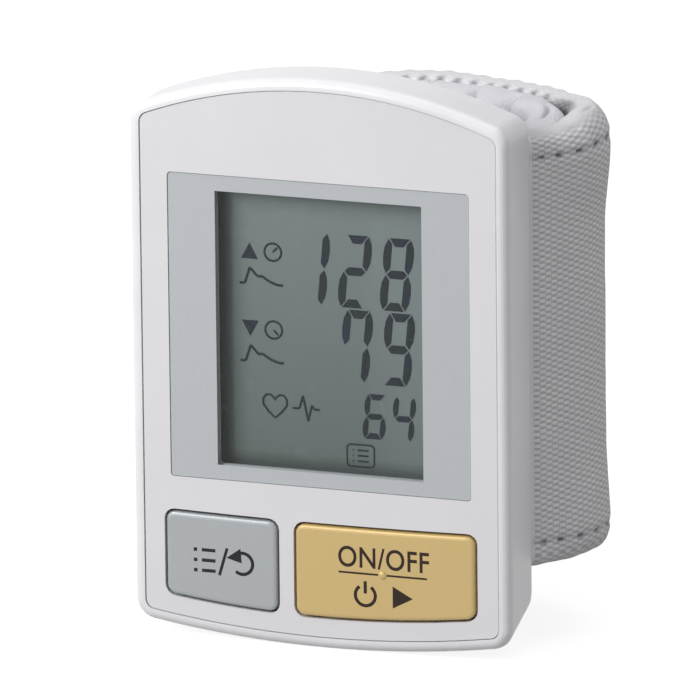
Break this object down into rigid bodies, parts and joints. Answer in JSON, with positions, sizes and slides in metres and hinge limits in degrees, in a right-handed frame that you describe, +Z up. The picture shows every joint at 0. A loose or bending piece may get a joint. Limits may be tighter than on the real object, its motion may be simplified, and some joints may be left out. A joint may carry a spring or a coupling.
{
  "type": "wrist blood pressure monitor",
  "caption": "Wrist blood pressure monitor: arched white casing with a large display and two keys, hinged battery cover, and a padded woven cuff stowed in a loop behind it.",
  "frame": {"origin": "centre of the bounding box's underside, with the casing standing upright", "axes": "+Z up along the display, +X to the right of someone who reads it, -Y out of the display, +Y into the wrist cuff behind it"},
  "size_m": [0.0734, 0.0462, 0.0877],
  "materials": {
    "white_casing": "semi-gloss moulded",
    "face_panel": "smooth semi-gloss, faintly lavender",
    "clear_window": "clear polished acrylic",
    "silver_print": "satin silver print",
    "display_glass": "grey-green display",
    "reflector": "satin film",
    "inner_plastic": "moulded",
    "silver_key": "satin silver paint on plastic",
    "gold_key": "satin gold paint on plastic",
    "dark_rubber": "matte",
    "circuit_board": "solder mask",
    "dark_package": "moulded",
    "steel": "plated",
    "cell_jacket": "printed film",
    "hose": "soft silicone",
    "woven_cloth": "coarse woven nylon",
    "lining_cloth": "smooth brushed lining",
    "hook_pad": "hook tape",
    "bladder": "thin film"
  },
  "bodies": {
    "casing": {"front_housing": "white_casing", "face_panel": "face_panel", "display_window": "clear_window", "window_mask": "silver_print", "lcd_frame": "inner_plastic", "lcd_glass": "display_glass", "lcd_reflector": "reflector", "connector_strip_lower": "dark_rubber", "connector_strip_upper": "dark_rubber", "keypad_mat": "dark_rubber", "memory_contact_pill": "dark_package", "start_contact_pill": "dark_package", "main_board": "circuit_board", "processor_chip": "dark_package", "pressure_sensor": "dark_package", "clock_crystal": "steel", "sounder": "dark_package", "motor_capacitor": "dark_package", "rear_housing": "white_casing", "case_screw_1": "steel", "case_screw_2": "steel", "case_screw_3": "steel", "case_screw_4": "steel", "cell_left": "cell_jacket", "cell_right": "cell_jacket", "contact_positive": "steel", "contact_negative": "steel", "pump_motor": "steel", "pump_head": "inner_plastic", "air_block": "inner_plastic", "cuff_nipple": "inner_plastic", "exhaust_valve": "steel", "pump_hose": "hose", "valve_hose": "hose", "sensor_hose": "hose", "cuff_plate": "inner_plastic", "back_lining": "lining_cloth", "side_flap": "woven_cloth", "cuff_clamp_right": "inner_plastic", "cuff_clamp_left": "inner_plastic"},
    "start_button": {"start_key": "gold_key"},
    "memory_button": {"memory_key": "silver_key"},
    "battery_door": {"battery_cover": "white_casing", "bridge_contact": "steel", "cell_spring": "steel"},
    "cuff_wrap": {"cuff_cover": "woven_cloth", "cuff_stay": "inner_plastic", "air_bladder": "bladder", "cuff_lining": "lining_cloth"},
    "cuff_end": {"cuff_tab": "woven_cloth", "hook_pad": "hook_pad"}
  },
  "joints": [
    {"name": "start_press", "type": "slide", "parent": "casing", "child": "start_button", "axis": [0, 1, 0], "range_m": [0, 0.0005], "stiffness_N_per_m": 600},
    {"name": "memory_press", "type": "slide", "parent": "casing", "child": "memory_button", "axis": [0, 1, 0], "range_m": [0, 0.0005], "stiffness_N_per_m": 600},
    {"name": "battery_cover_hinge", "type": "hinge", "parent": "casing", "child": "battery_door", "pos_m": [-0.0095, -0.00487, 0.0092], "axis": [1, 0, 0], "range_deg": [0, 95]},
    {"name": "cuff_opening", "type": "hinge", "parent": "casing", "child": "cuff_wrap", "pos_m": [0.0292, -0.00907, 0.046], "axis": [0, 0, -1], "range_deg": [0, 75]},
    {"name": "cuff_end_lift", "type": "hinge", "parent": "cuff_wrap", "child": "cuff_end", "pos_m": [-0.03336, 0.00387, 0.046], "axis": [0, 0, -1], "range_deg": [0, 45]}
  ]
}
